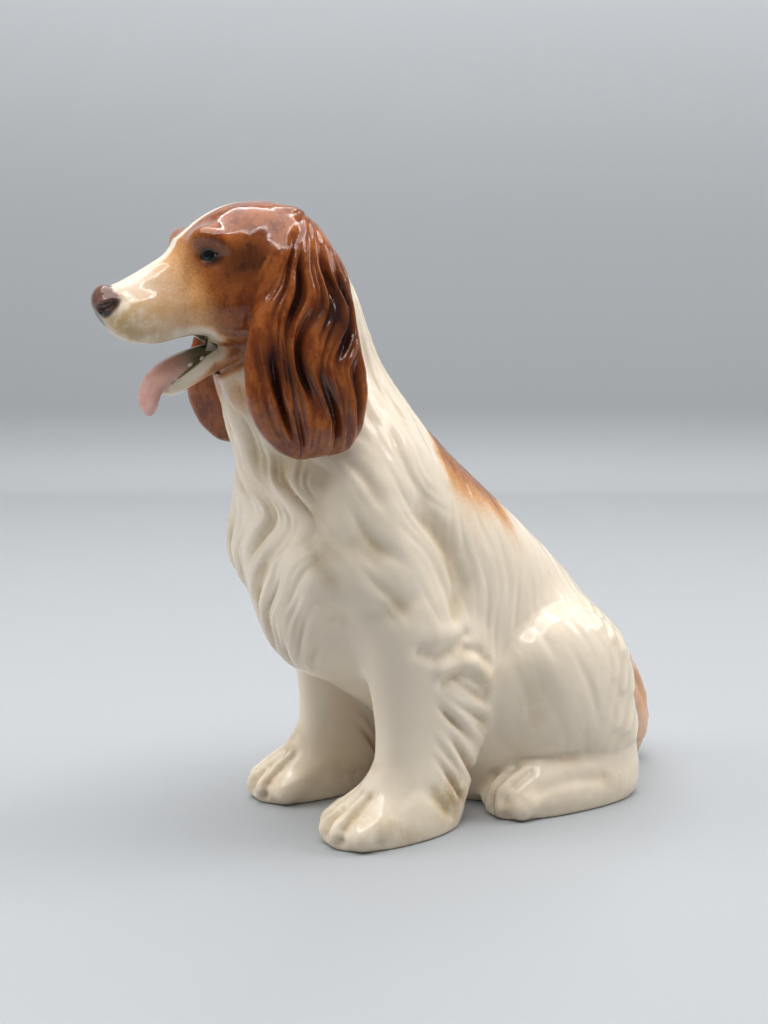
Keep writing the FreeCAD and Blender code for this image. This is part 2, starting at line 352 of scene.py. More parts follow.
def tongue_form(h):
    """A flattened tube."""
    best = None
    line = through(TONGUE, np.linspace(0, TONGUE[-1][0], 17)).T
    for a, b in zip(line[:-1], line[1:]):
        run = b[:3] - a[:3]
        t = np.clip((h - a[:3]) @ run / (run @ run), 0, 1)
        q = h - a[:3] - t[:, None] * run
        wide, thick = a[3] + t * (b[3] - a[3]), a[4] + t * (b[4] - a[4])
        flat = np.cross(run / np.linalg.norm(run), [1.0, 0, 0])
        across = math.cos(TONGUE_ROLL) * np.array([1.0, 0, 0]) + math.sin(TONGUE_ROLL) * flat
        side = q @ across
        rest = np.sqrt(np.maximum((q * q).sum(1) - side ** 2, 0))
        d = section(side, rest, wide, thick, 2.0)
        best = d if best is None else np.minimum(best, d)
    return best


# (step along, x, y, z, radius)
TAIL = [
    (0, -1, 75, 43, 2.4), (1, 0, 80, 36, 4.0), (2, 0.8, 83.6, 27, 5.4), (3, 1.6, 85.4, 18, 6.2),
    (4, 1.6, 85.8, 9, 5.8), (4.6, 1.2, 85.2, 3, 4.2),
]


def tail_form(p):
    """The tail, down behind the rump."""
    return limb(p, through(TAIL, np.linspace(0, TAIL[-1][0], 14)).T)


NAMES = ["body_shell", "head_shell", "lower_jaw", "tongue", "left_ear", "right_ear",
         "left_foreleg", "right_foreleg", "left_hind_leg", "right_hind_leg", "tail"]


FAR = 50.0                                         # stands for a form that is nowhere near
HEAD_FROM, LEGS_TO, TAIL_TO = 96, 106, 62          # heights


def where(mask, form, *points):
    """A form's distance where mask holds, and far away elsewhere."""
    out = np.full(len(mask), FAR)
    if mask.any():
        out[mask] = form(*(q[mask] for q in points))
    return out


def forms(p):
    """Distance to each casting's own form, one row per name in NAMES, with the mouth already open."""
    a = folded(p)
    h = in_head(p)
    left, high = p[:, 0] > 0, p[:, 2] > HEAD_FROM
    low = (p[:, 2] < LEGS_TO) & (p[:, 1] < 40)
    rear = (p[:, 2] < LEGS_TO) & (p[:, 1] > -5)
    side = np.abs(h[:, 0]) > 3
    skull = where(high & (p[:, 2] > 120), skull_form, h)
    skull = carve(carve(skull, mouth_space(h), 1.0), palate(h), 0.8)
    return np.stack([
        body_form(p), skull, where(high, jaw_form, h), where(high & (h[:, 1] < 0), tongue_form, h),
        where(high & side & (h[:, 0] > 0), lambda q: ear_form(q, 1), h),
        where(high & side & (h[:, 0] < 0), lambda q: ear_form(q, -1), h),
        where(low & left, foreleg_form, a), where(low & ~left, foreleg_form, a),
        where(rear & left, hind_leg_form, a), where(rear & ~left, hind_leg_form, a),
        where((p[:, 2] < TAIL_TO) & (p[:, 1] > 50), tail_form, p)])


def figure(p):
    """Distance to the whole figure, its castings filleted together, standing on the floor."""
    f = forms(p)
    d = join(f[0], f[1], 7)
    d = join(d, f[2], 2.0)
    d = np.minimum(d, f[3])
    d = join(d, np.minimum(f[4], f[5]), 1.6 + 5.5 * ramp(148, 163, p[:, 2]))
    d = join(d, np.minimum(f[6], f[7]), 6)
    d = join(d, np.minimum(f[8], f[9]), 3)
    d = join(d, f[10], 2)
    return np.maximum(d, -p[:, 2])


# ---- meshing -------------------------------------------------------------------------
def in_chunks(function, p, size=400000):
    """function(p) worked out a chunk at a time, to spare memory."""
    return np.concatenate([function(p[i:i + size]) for i in range(0, len(p), size)])


def surface_nets(low, high, step, coarse):
    """Quads on the zero level of figure(), sampled finely only near the surface."""
    cells = np.ceil((np.array(high) - low) / (step * coarse)).astype(int)
    axes = [low[k] + step * coarse * np.arange(cells[k] + 1) for k in range(3)]
    rough = in_chunks(figure, np.stack(np.meshgrid(*axes, indexing="ij"), -1).reshape(-1, 3))
    rough = rough.reshape(cells + 1)
    block = np.stack([rough[i:i + cells[0], j:j + cells[1], k:k + cells[2]]
                      for i in (0, 1) for j in (0, 1) for k in (0, 1)])
    close = np.abs(block).min(0) < step * coarse * 1.1
    fine = np.repeat(np.repeat(np.repeat(block[0], coarse, 0), coarse, 1), coarse, 2).astype(np.float32)
    mask = np.repeat(np.repeat(np.repeat(close, coarse, 0), coarse, 1), coarse, 2)
    index = np.argwhere(mask)
    fine[mask] = in_chunks(figure, low + index * step)
    inside = fine < 0
    nx, ny, nz = inside.shape
    corners = np.zeros((nx - 1, ny - 1, nz - 1), np.int8)
    for i in (0, 1):
        for j in (0, 1):
            for k in (0, 1):
                corners += inside[i:nx - 1 + i, j:ny - 1 + j, k:nz - 1 + k]
    live = (corners > 0) & (corners < 8)
    number = np.full(live.shape, -1, np.int32)
    at = np.argwhere(live)
    number[live] = np.arange(len(at))
    # each vertex starts at the mean of its cell's crossings
    total, count = np.zeros((len(at), 3)), np.zeros(len(at))
    for axis in range(3):
        others = [k for k in range(3) if k != axis]
        for i in (0, 1):
            for j in (0, 1):
                a = at.copy()
                a[:, others[0]] += i
                a[:, others[1]] += j
                b = a.copy()
                b[:, axis] += 1
                fa, fb = fine[tuple(a.T)], fine[tuple(b.T)]
                cross = (fa < 0) != (fb < 0)
                t = np.where(cross, fa / np.where(cross, fa - fb, 1), 0)
                point = a.astype(float)
                point[:, axis] += t
                total += point * cross[:, None]
                count += cross
    verts = np.array(low) + step * total / np.maximum(count, 1)[:, None]
    quads = []
    for axis in range(3):
        others = [(axis + 1) % 3, (axis + 2) % 3]
        a = [slice(None)] * 3
        b = [slice(None)] * 3
        a[axis], b[axis] = slice(0, -1), slice(1, None)
        change = inside[tuple(a)].astype(np.int8) - inside[tuple(b)].astype(np.int8)
        edge = np.argwhere(change != 0)
        edge = edge[(edge[:, others[0]] > 0) & (edge[:, others[1]] > 0)]
        ring = []
        for di, dj in ((-1, -1), (0, -1), (0, 0), (-1, 0)):
            c = edge.copy()
            c[:, others[0]] += di
            c[:, others[1]] += dj
            ring.append(number[tuple(c.T)])
        ring = np.stack(ring, 1)
        ring = np.where((change[tuple(edge.T)] > 0)[:, None], ring, ring[:, ::-1])
        quads.append(ring)
    return verts, np.concatenate(quads)


def slope_of(p, step=0.05):
    """Gradient of figure() by central differences."""
    out = np.empty_like(p)
    for k in range(3):
        e = np.zeros(3)
        e[k] = step
        out[:, k] = (in_chunks(figure, p + e) - in_chunks(figure, p - e)) / (2 * step)
    return out


def settle(p, rounds=1):
    """Moves points onto the surface."""
    for _ in range(rounds):
        g = slope_of(p)
        p = p - g * np.clip(in_chunks(figure, p) / np.maximum((g * g).sum(1), 0.05), -0.6, 0.6)[:, None]
    return p


def edges_of(tris):
    """Every edge once, and each triangle's three edges as rows of that list."""
    e = np.sort(tris[:, [0, 1, 1, 2, 2, 0]].reshape(-1, 2), 1)
    unique, back = np.unique(e, axis=0, return_inverse=True)
    return unique, back.reshape(-1, 3)


def relax(p, tris, rounds):
    """Evens out the triangles by moving each point towards its neighbours' mean."""
    e, _ = edges_of(tris)
    n = np.bincount(e.ravel(), minlength=len(p))
    a, b = e.T
    for _ in range(rounds):
        mean = np.stack([np.bincount(a, p[b, k], len(p)) + np.bincount(b, p[a, k], len(p))
                         for k in range(3)], 1) / n[:, None]
        p = p + 0.5 * (mean - p)
    return p


def refine(p, tris, target):
    """Splits every edge longer than its own target length, leaving no open corners."""
    e, of_tri = edges_of(tris)
    middle = (p[e[:, 0]] + p[e[:, 1]]) / 2
    split = np.linalg.norm(p[e[:, 0]] - p[e[:, 1]], axis=1) > target(middle)
    new = np.full(len(e), -1)
    new[split] = len(p) + np.arange(split.sum())
    p = np.concatenate([p, middle[split]])
    m = new[of_tri]
    kind = (m >= 0).sum(1)
    out = [tris[kind == 0]]
    for shift in range(3):
        t, k = np.roll(tris, -shift, 1), np.roll(m, -shift, 1)
        one = (kind == 1) & (k[:, 0] >= 0)
        a, b, c, ab = t[one, 0], t[one, 1], t[one, 2], k[one, 0]
        out += [np.stack([a, ab, c], 1), np.stack([ab, b, c], 1)]
        two = (kind == 2) & (k[:, 2] < 0)
        a, b, c, ab, bc = t[two, 0], t[two, 1], t[two, 2], k[two, 0], k[two, 1]
        out += [np.stack([ab, b, bc], 1), np.stack([a, ab, bc], 1), np.stack([a, bc, c], 1)]
    four = kind == 3
    a, b, c = tris[four].T
    ab, bc, ca = m[four].T
    out += [np.stack([a, ab, ca], 1), np.stack([ab, b, bc], 1)]
    out += [np.stack([ca, bc, c], 1), np.stack([ab, bc, ca], 1)]
    return p, np.concatenate(out)


def vertex_normals(p, tris):
    """Area-weighted normals."""
    face = np.cross(p[tris[:, 1]] - p[tris[:, 0]], p[tris[:, 2]] - p[tris[:, 0]])
    n = np.stack([np.bincount(tris.ravel(), np.repeat(face[:, k], 3), len(p)) for k in range(3)], 1)
    return n / np.maximum(np.linalg.norm(n, axis=1), 1e-12)[:, None]


# ---- relief: combed hair, folds and toes, as a height along the surface's normal -------
def wobble(x, y, seed):
    """Smooth repeatable noise, about -1 to 1, with features about 3 across."""
    rng = np.random.default_rng(seed)
    total = 0
    for turn in rng.uniform(0, 2 * np.pi, 5):
        size = rng.uniform(0.7, 1.7)
        total = total + np.sin(size * (x * np.cos(turn) + y * np.sin(turn)) + rng.uniform(0, 6.3)) / size
    return total / 3


def rounded(x):
    """A lock's cross-section: 1 at x = 0.5, 0 at 0 and 1."""
    return (0.5 - 0.5 * np.cos(2 * np.pi * x)) ** 0.75


def locks(v, w, seed, strands=3, drift=0.25, even=0.5, comb=0.26):
    """Height of combed hair, 1 on a lock's back: v counts locks across, w runs along them in mm.

    Each parting deepens and fades along its run; even is its mean depth and comb that of the fine lines."""
    v = v + drift * wobble(v * 0.6, w / 8.5, seed) + 0.2 * drift * wobble(v * 2.2, w / 4.0, seed + 1)
    parting_number = np.floor(v + 0.5)
    x = v - np.floor(v)
    depth = np.clip(even + 0.55 * np.sin(w / 6.5 + 2.4 * parting_number + seed), 0.05, 1)
    height = 1 - (1 - rounded(x)) * depth
    y = v * strands + 0.45 * wobble(v * 3, w / 7, seed + 2)
    fine_number = np.floor(y + 0.5)
    y = y - np.floor(y)
    fine = np.clip(0.5 + 0.6 * np.sin(w / 4.1 + 1.7 * fine_number + seed), 0, 1)
    return height - comb * fine * (1 - rounded(y))


def shingle(v, w, pitch, seed):
    """Height of short overlapping tufts, each pitch mm long along w."""
    v = v + 0.3 * wobble(v, w / 5, seed)
    lock = np.floor(v)
    x = v - lock
    run = w / pitch + 0.37 * lock + 0.3 * np.sin(2.1 * lock)
    run = run - np.floor(run)
    return rounded(x) * np.minimum(run * 1.15, (1 - run) * 5)


def line_number(rows, numbers, y, t, pitch):
    """Which lock a point is in, where each row says at t where the lines called numbers lie.

    Beyond the first and the last line the locks are pitch mm wide."""
    lines = through(rows, t)
    out = numbers[0] + (y - lines[0]) / (lines[1] - lines[0]) * (numbers[1] - numbers[0])
    for k in range(1, len(numbers) - 1):
        here = numbers[k] + (y - lines[k]) / (lines[k + 1] - lines[k]) * (numbers[k + 1] - numbers[k])
        out = np.where(y > lines[k], here, out)
    out = np.where(y < lines[0], numbers[0] + (y - lines[0]) / pitch, out)
    return np.where(y > lines[-1], numbers[-1] + (y - lines[-1]) / pitch, out)


# Where five partings of the ear lie, front to back: (height, y of each), in the head's frame.
EAR_LINES = [
    (-44, -1.5, 1.0, 5.0, 9.0, 12), (-38, -3.5, -0.5, 6.0, 10.4, 15),
    (-33, -7.7, -2.4, 6.6, 11.8, 17.5), (-26, -10.5, -4.4, 6.0, 12.8, 20.5),
    (-19, -10.9, -3.5, 5.4, 11.8, 20.8), (-12, -9.7, -0.4, 7.8, 14.6, 20.5),
    (-4, -7.2, 2.6, 11.0, 16.8, 20.5), (4, -3.4, 4.2, 12, 17.0, 20.0), (11, -0.6, 5, 10.8, 15.2, 18.5),
    (20, 2.0, 6, 9.6, 12.2, 15),
]
EAR_NUMBERS = [0, 1.7, 3.6, 4.9, 6.6]
# The same on the chest: (height, arc from the middle to the left in mm).
CHEST_LINES = [
    (50, -31, -24, -16, -8, 0, 8), (59, -25, -18, -10, -3, 4, 12), (68, -20, -13, -5, 3, 10, 18),
    (73, -18, -11, -3, 6, 13, 20), (78, -17, -9, 1, 9, 16, 23), (84, -15, -3, 6, 14, 21, 27),
    (90, -16, 1, 9, 16, 22, 27), (95, -18, -1, 8, 14, 19, 24), (101, -17, -6, 2, 9, 16, 23),
    (107, -16, -8, 0, 8, 17, 27), (120, -18, -10, -2, 7, 16, 25),
]
CHEST_NUMBERS = [0, 1.2, 2.3, 3.4, 4.5, 5.6]
# Folds pressed into both sides: (height, half width, points of |x|, y, z). They lie behind
# the shoulder, on the chest and under the ear, round the elbow, and between and behind the toes.
FOLDS = [
    (-1.5, 3.6, [(28, -10, 93), (27, -3, 85), (27, 1, 78), (27.5, 4, 70), (30, 1, 61)]),
    (-1.2, 4.4, [(31, -33, 85), (31, -27, 82)]),
    (-1.0, 3.2, [(31, -28, 65), (32, -22, 66), (33, -16, 69)]),
    (1.1, 6.5, [(29, -25, 98), (31, -20, 89), (32, -17, 80)]),
    (-1.0, 4.0, [(25, -43, 98), (27, -41, 88), (27, -38, 76), (22, -32, 62)]),
    (-1.6, 5.0, [(10, -47, 106), (18, -43, 105), (25, -39, 104)]),
    (0.9, 3.2, [(32, -7, 58), (31, 1, 58)]),
    (-1.2, 2.0, [(32, -13, 54), (32, -8, 52), (32, -3, 53.5), (30, 4, 56.5)]),
    (1.1, 1.9, [(32, -6, 48), (31, 1, 49.5), (30, 6, 48), (28, 11, 43)]),
    (-1.0, 1.5, [(31, 3, 52.5), (29, 8, 51), (27, 13, 46)]),
    (-1.1, 1.4, [(32, -5, 44), (31, 1, 45.5), (29.5, 6, 43.5), (28, 12, 38)]),
    (-1.7, 1.3, [(17.0, -36.5, 1.5), (17.0, -35, 6.5), (17.6, -30.5, 10.5), (18.4, -26, 14)]),
    (-1.8, 1.3, [(22.4, -38.5, 1.5), (22.4, -37, 6.5), (22.4, -32.5, 10.8), (22.2, -27, 14.5)]),
    (-1.9, 1.4, [(28.4, -36.5, 1.5), (28.2, -35, 6.5), (27.4, -30.5, 10.5), (26.4, -26, 14)]),
    (-0.9, 1.6, [(33, -27, 3), (32, -21, 9), (29.5, -15, 14)]),
    (-1.1, 2.2, [(27, -14, 15), (31, -8, 12), (32.5, -2, 6)]),
    (-1.3, 1.2, [(21.9, 15, 1.5), (21.9, 15, 6), (22.0, 18.5, 10.6), (22.6, 24, 13.4)]),
    (-1.3, 1.2, [(26.5, 14.5, 1.5), (26.5, 14.5, 6), (26.5, 18, 10.8), (26.4, 24, 13.8)]),
    (-1.3, 1.2, [(31.0, 17, 1.5), (31.0, 17, 6), (30.8, 20, 10), (30.4, 26, 12.6)]),
    (-0.8, 2.0, [(36, 26, 9), (36.5, 36, 10.5), (36, 48, 9)]),
]
FOLD_REACH = 2.2                                   # half widths at which a fold has faded out
POST_Y, POST_R = -20, 25                           # the upright post that chest arcs are measured round


def run_beside(p, points):
    """Distance to a line through the points."""
    best = None
    for a, b in zip(points[:-1], points[1:]):
        a, b = np.array(a, float), np.array(b, float)
        t = np.clip((p - a) @ (b - a) / ((b - a) @ (b - a)), 0, 1)
        d = np.linalg.norm(p - a - t[:, None] * (b - a), axis=1)
        best = d if best is None else join(best, d, 1.0)
    return best


def folds(a):
    """Height of the pressed folds."""
    total = np.zeros(len(a))
    for height, width, points in FOLDS:
        reach = FOLD_REACH * width
        low, high = np.min(points, 0) - reach, np.max(points, 0) + reach
        within = ((a > low) & (a < high)).all(1)
        total[within] += height * np.exp(-(run_beside(a[within], points) / width) ** 2)
    return total


def ear_relief(h, seed, side):
    """Height and hollow of one ear's hair: long locks that start smooth at the top and merge and part."""
    x, y, z = h[:, 0] * side, h[:, 1], h[:, 2]
    front, back, inner, outer = through(EAR, z)
    across = (y - front) / (back - front)
    bottom = np.maximum(-20 - z, 0)
    sway = 2.1 * np.sin(z / 6.2 + y / 9 + seed) * ramp(9, -4, z) + 3.2 * wobble(y / 6, z / 8, seed + 5)
    v = line_number(EAR_LINES, EAR_NUMBERS, y + sway - 0.010 * bottom ** 2, z, 4.5)
    begin = ramp(17, 5, z + 3.0 * wobble(y / 2, z / 9, seed + 7)) * ramp(-43, -32, z)
    rim = 0.1 + 0.9 * ramp(0.0, 0.2, across) * ramp(1.0, 0.84, across)
    strong = (0.12 + 0.88 * begin) * rim * (0.3 + 0.7 * ramp(inner + 1, outer - 3, x))
    high = locks(v, z, seed, 3, 0.6, 0.55, 0.3)
    return (2.6 * high - 2.0) * strong, (1 - high) * strong


def relief(p):
    """Height in mm of the modelled surface over the plain form, and how deep in a parting it is, 0 to 1."""
    h = in_head(p)
    f = forms(p)
    x, y, z = p.T
    a = folded(p)
    ears, head = np.minimum(f[4], f[5]), np.minimum(f[1], f[2])
    legs, hinds = np.minimum(f[6], f[7]), np.minimum(f[8], f[9])
    total = folds(a)
    hollow = np.clip(-0.35 * total, 0, 1)

    def add(where_to, scale, high, level):
        nonlocal total, hollow
        total = total + where_to * scale * (high - level)
        hollow = hollow + where_to * (1 - high) * min(scale / 2, 1)

    for d, seed, side in ((f[4], 3, 1), (f[5], 11, -1)):
        up, low = ear_relief(h, seed, side)
        total += ramp(2.2, 0.4, d) * up
        hollow += ramp(2.2, 0.4, d) * low
    trunk = ramp(0.2, 2.2, np.minimum(ears, np.minimum(head - 0.5, f[3]))) * ramp(0, 2.5, hinds)
    # chest and throat, round the post
    arc = POST_R * np.arctan2(x, POST_Y - y)
    v = line_number(CHEST_LINES, CHEST_NUMBERS, arc + 0.8 * np.sin(z / 3.1), z, 5.0)
    chest = ramp(-34, -24, arc) * ramp(26, 14 - 8 * ramp(88, 66, z), arc)
    chest = chest * ramp(42, 52, z) * ramp(126, 112, z) * trunk * ramp(-1.0, 1.5, legs)
    add(chest, 1.6, locks(v, z, 21, 3, 0.34, 0.5, 0.4), 0.68)
    neck = ramp(108, 118, z) * trunk
    add(neck, 0.9, locks((arc + 0.35 * z) / 5.5, z, 31, 3, 0.35), 0.7)
    # flank: fine combed lines that leave the spine backwards and turn down
    spine = np.interp(y, [-20, -9, 0, 14, 28, 43, 59, 75, 85], [140, 136, 120, 105, 95, 81, 67, 51, 35])
    depth = np.maximum(spine - z, 0)
    flow = y + 7 * np.exp(-depth / 14) + 1.5 * np.sin(z / 14)
    flank = ramp(-8, 4, y) * ramp(16, 26, z) * ramp(0, 3, legs) * trunk * ramp(0.5, 4, hinds)
    add(flank, 0.45, locks(flow / 3.8, z, 41, 2, 0.55, 0.4), 0.7)
    # shoulder and withers: shallow overlapping waves
    run, cross = 0.62 * (y + 30) - 0.78 * (z - 90), 0.78 * (y + 30) + 0.62 * (z - 90)
    shoulder = ramp(16, 24, np.abs(arc)) * ramp(8, -6, y) * ramp(56, 68, z) * ramp(124, 112, z) * trunk
    add(shoulder, 0.9, locks(cross / 7.5, run, 51, 2, 0.5, 0.4), 0.75)
    # feathering behind each foreleg, steeper towards the heel
    feather = ramp(-9, 1, y) * ramp(5, 12, z) * ramp(47, 40, z + 0.5 * y) * ramp(1.5, 0, legs)
    slope = np.interp(z, [8, 30, 60], [1.25, 0.75, 0.45])
    add(feather, 1.8, locks((z + slope * (y + 8)) / 5.6, y, 61, 2, 0.35, 0.6), 0.7)
    # rump: short tufts that overlap down its edge
    rump = ramp(44, 58, y) * ramp(10, 20, z) * ramp(70, 58, z)
    add(rump, 0.8, shingle((y + 0.2 * x - 0.25 * z) / 5.2, -z, 11.0, 71), 0.4)
    thigh = ramp(1.2, 0, hinds) * ramp(13, 19, z) * (1 - rump)
    add(thigh, 0.3, locks((0.8 * y + 0.3 * z) / 5.0, z, 81, 2, 0.4), 0.65)
    add(ramp(1.5, 0, f[10]), 1.2, locks((x + 0.1 * z) / 3.0, z, 91, 2, 0.3), 0.5)
    floor_fade = ramp(0.0, 2.5, z)
    return np.column_stack([total * floor_fade, np.clip(hollow, 0, 1)])


# ---- paint: how much of each underglaze colour lies at each point -----------------------
def near(p, place, reach):
    """1 at a place, 0 beyond reach, the same on both sides."""
    q = folded(p) - place
    return ramp(1, 0, np.sqrt(((q / reach) ** 2).sum(1)))


def head_paint(h, f):
    """Russet, dark and ochre on the head; the dark includes painted shade in the hollow by the ear and
    along the mouth-corner crease, and the ochre painted shade low on the muzzle.
    """
    wide, fore, up = np.abs(h[:, 0]), -h[:, 1], h[:, 2]
    jaw = f[2] < f[1]
    gap = mouth_space(h)
    blaze_half = np.interp(fore, [-14, -6, 4, 12, 18, 24, 30, 36, 42],
                           [0.2, 0.6, 1.0, 1.2, 1.4, 2.0, 3.4, 5.0, 8.0])
    blaze = ramp(-13, -7, fore) * ramp(blaze_half + 1.8, blaze_half - 0.6, wide) * ramp(1.0, 5.0, up)
    muzzle = np.interp(fore - 0.25 * (up + 3), [10, 15, 19, 24, 33, 40, 44],
                       [1, 0.9, 0.6, 0.42, 0.28, 0.12, 0])
    lips = 1 - ramp(6, 11, fore) * ramp(3.6, 1.2, gap)
    russet = muzzle * (1 - blaze) * (0.25 + 0.75 * lips) * ramp(-26, -17, up + 0.25 * fore)
    russet = np.where(jaw, 0.8 * ramp(27, 13, fore) * ramp(2.0, 5.0, gap), russet)
    socket = near(h, (12.0, -17.0, 10.8), (6.2, 6.8, 5.0))
    russet = np.maximum(russet, np.minimum(1.6 * socket, 1) * (1 - blaze))
    dark = 0.14 + 0.75 * near(h, (10.5, -16.6, 14.0), (5.5, 6.5, 3.6))
    dark += 0.9 * near(h, (12.5, -16.4, 10.6), (4.6, 5.2, 3.8))
    dark += 0.75 * near(h, (16, -6.0, 9.0), (8, 12, 11)) + 0.5 * near(h, (14, -13, 3.5), (7, 8, 8))
    # painted shade in the hollow by the ear and along the crease at the mouth's corner
    dark += 0.7 * near(h, (16.6, -10.6, -14.4), (4, 2.8, 4.2)) + 0.2 * near(h, (16, -9, -9.5), (4, 7, 2))
    # ochre low on the muzzle: partly its own yellowish colour, partly painted shade under it, made stronger
    # towards the nose
    ochre = (0.52 + 0.36 * ramp(30, 40, fore)) * ramp(18, 30, fore) * ramp(4, -3, up) * (1 - blaze)
    return russet, dark, ochre


def ear_dark(h, crease, blot):
    """How dark an ear is: a patch at mid height behind, another low in front, and painted shade in every
    parting.
    """
    up = h[:, 2]
    dark = 0.22 + 0.62 * near(h, (26, 14, -6), (16, 10, 17)) + 0.45 * near(h, (26, -3, -20), (16, 9, 10))
    # painted shade: darker the deeper in a parting
    dark += 0.95 * crease + 0.22 * blot
    return dark - 0.25 * ramp(-24, -38, up) - 0.12 * ramp(12, 2, np.abs(up - 14))


def saddle(p):
    """The patch over the spine, and the darker streak along its ridge."""
    x, y, z = p.T
    run = np.interp(y, [0, 4, 23, 31], [0, 1, 1, 0])
    ragged = np.abs(x) + 1.4 * wobble(y / 3, x / 9, 8)
    patch = run * ramp(27, 15, ragged) * ramp(56, 70, z)
    return patch, run * ramp(16, 9.0, ragged) * ramp(60, 78, z)


def body_ochre(p, crease, blot):
    """Ochre deeper in partings and blotched low on the paws, a stain behind each fore heel, and painted
    shade where limbs meet: over each hind foot, round the elbow and in the hollow in front of the thigh.
    """
    paws = 0.42 * ramp(18, 5, p[:, 2]) * (0.35 + 0.65 * np.maximum(blot, 0))
    # heel: a stain behind each fore heel, and painted shade in the crease between thigh and hind foot
    heel = near(p, (31, -1, 10), (8, 11, 12)) + near(p, (28, 40, 16), (10, 14, 4))
    # painted shade round the elbow fold and behind the elbow; groin: painted shade in the hollow in front
    # of the thigh
    elbow = near(p, (27, 12, 46), (8, 9, 12)) + near(p, (32, 2, 52), (5, 7, 4))
    groin = near(p, (34, 24, 30), (7, 8, 17))
    ankle = near(p, (22, -22, 17), (11, 9, 8)) * np.maximum(blot, 0)
    partings_and_paws = 0.5 * np.clip(1.3 * crease - 0.25, 0, 1) + paws
    return partings_and_paws + 0.65 * heel + 0.45 * (elbow + groin) + 0.6 * ankle


def mouth_paint(h, f, on_head):
    """The tongue's pink, and dark painted shade in the hollows of the mouth and over the tongue's rear."""
    wide, fore = np.abs(h[:, 0]), -h[:, 1]
    gap = mouth_space(h)
    on_tongue = ramp(0.5, 0.0, f[3]) * ramp(0.0, 0.4, np.minimum(f[1], f[2]) - f[3] + 0.4)
    tongue = on_tongue * ramp(17, 25, fore)
    mouth_shade = ramp(0.9, 0.1, np.minimum(palate(h), jaw_trough(h))) * ramp(30, 24, fore)
    within = ramp(7.5, 5.0, wide - np.interp(fore, [9, 24], [4.0, 0.0]))
    mouth_shade = np.maximum(mouth_shade, ramp(0.5, 0.0, gap) * within * ramp(33, 27, fore))
    return tongue, np.maximum(mouth_shade * on_head, 0.8 * on_tongue) * (1 - tongue)


def nose_paint(h):
    """The nose pad, and how black it is: its nostrils, its underside, and a smudge behind each wing that is
    part dark paint and part painted shade.
    """
    fore, up = -h[:, 1], h[:, 2]
    nose = ramp(0.9, 0.2, nose_pad(h)) * ramp(36.0, 37.6, fore) * ramp(-8.6, -7.2, up)
    black = near(h, (4.4, -43.0, -2.9), (3.2, 3.4, 2.5)) + near(h, (6.2, -40.6, -1.4), (2.0, 2.6, 2.4))
    black = np.clip(black + ramp(-2.8, -5.0, up), 0, 1)
    # the smudge behind each wing: part dark paint, part painted shade
    return nose, black * nose + 0.7 * near(h, (5.6, -39.0, -4.2), (2.8, 3.4, 3.2)) * (1 - nose)


def eye_paint(h):
    """The whole eye, and its pupil."""
    out = folded(h) - EYE
    along, high = out @ EYE_FORE, out @ EYE_UP
    on_ball = ramp(EYE_R + 0.9, EYE_R + 0.5, np.linalg.norm(out, axis=1)) * ramp(0.0, 1.0, out @ EYE_OUT)
    iris = on_ball * ramp(1.0, 0.88, np.hypot(along / 2.5, high / 1.75))
    return iris, on_ball * ramp(1.45, 1.25, np.hypot(along + 0.4, high - 0.05))


def paint(p, crease):
    """Masks by name, about 0 to 1, at the plain surface's points; crease is 1 deep in a parting."""
    h = in_head(p)
    fore, up = -h[:, 1], h[:, 2]
    f = forms(p)
    x, y, z = p.T
    blot = wobble(x / 3 + 9, z / 3 + y / 4, 5)
    crown = ramp(142, 152, z)
    on_ear = ramp(1.4 + 2.2 * crown, 0.2 + 1.6 * crown, np.minimum(f[4], f[5]))
    on_head = ramp(4.5, 1.0, np.minimum(f[1], f[2])) * ramp(118, 127, z)
    on_head = on_head * ramp(-17, -9, fore - 0.5 * np.minimum(up, 0))
    head_russet, head_dark, head_ochre = head_paint(h, f)
    throat = 0.45 * near(p, (7, -55, 124), (12, 9, 12))
    russet = np.maximum(np.maximum(on_head * head_russet, on_ear), throat)
    dark = np.where(on_ear > 0.5, ear_dark(h, crease, blot), head_dark)
    patch, streak = saddle(p)
    tail = 0.34 * ramp(1.2, 0.1, f[10])
    russet = np.maximum(russet, np.maximum(0.8 * patch, tail))
    dark = np.maximum(dark, 0.8 * streak * ramp(-2, 6, y))
    ochre = np.maximum(body_ochre(p, crease, blot) * (1 - on_head), on_head * head_ochre)
    tongue, mouth_shade = mouth_paint(h, f, on_head)
    nose, black = nose_paint(h)
    iris, pupil = eye_paint(h)
    return {"crease": crease, "russet": russet, "dark": dark, "ochre": ochre,
            "pink": np.maximum(tongue, tail), "nose": nose, "nostril_and_shade": black, "mouth": mouth_shade,
            "iris": iris, "pupil": pupil, "tooth": np.zeros(len(p))}


def in_paint(p, crease, size=400000):
    """paint() in chunks."""
    parts = [paint(p[i:i + size], crease[i:i + size]) for i in range(0, len(p), size)]
    return {key: np.concatenate([part[key] for part in parts]) for key in parts[0]}


# ======================================================================================
# Pieces
# ======================================================================================
STATIONS_TO_FRAME = np.array([0, -1.7, 0])
GRID = 0.8                    # the sculpt's first spacing
# (how far forward, height) of the teeth, the same on both sides
TEETH = [(10.0, 1.0), (13.5, 1.3), (17.0, 1.1), (20.0, 1.0), (22.6, 1.5)]
EYE_MIDDLE = np.array([10.8, -16.2, 10.3])


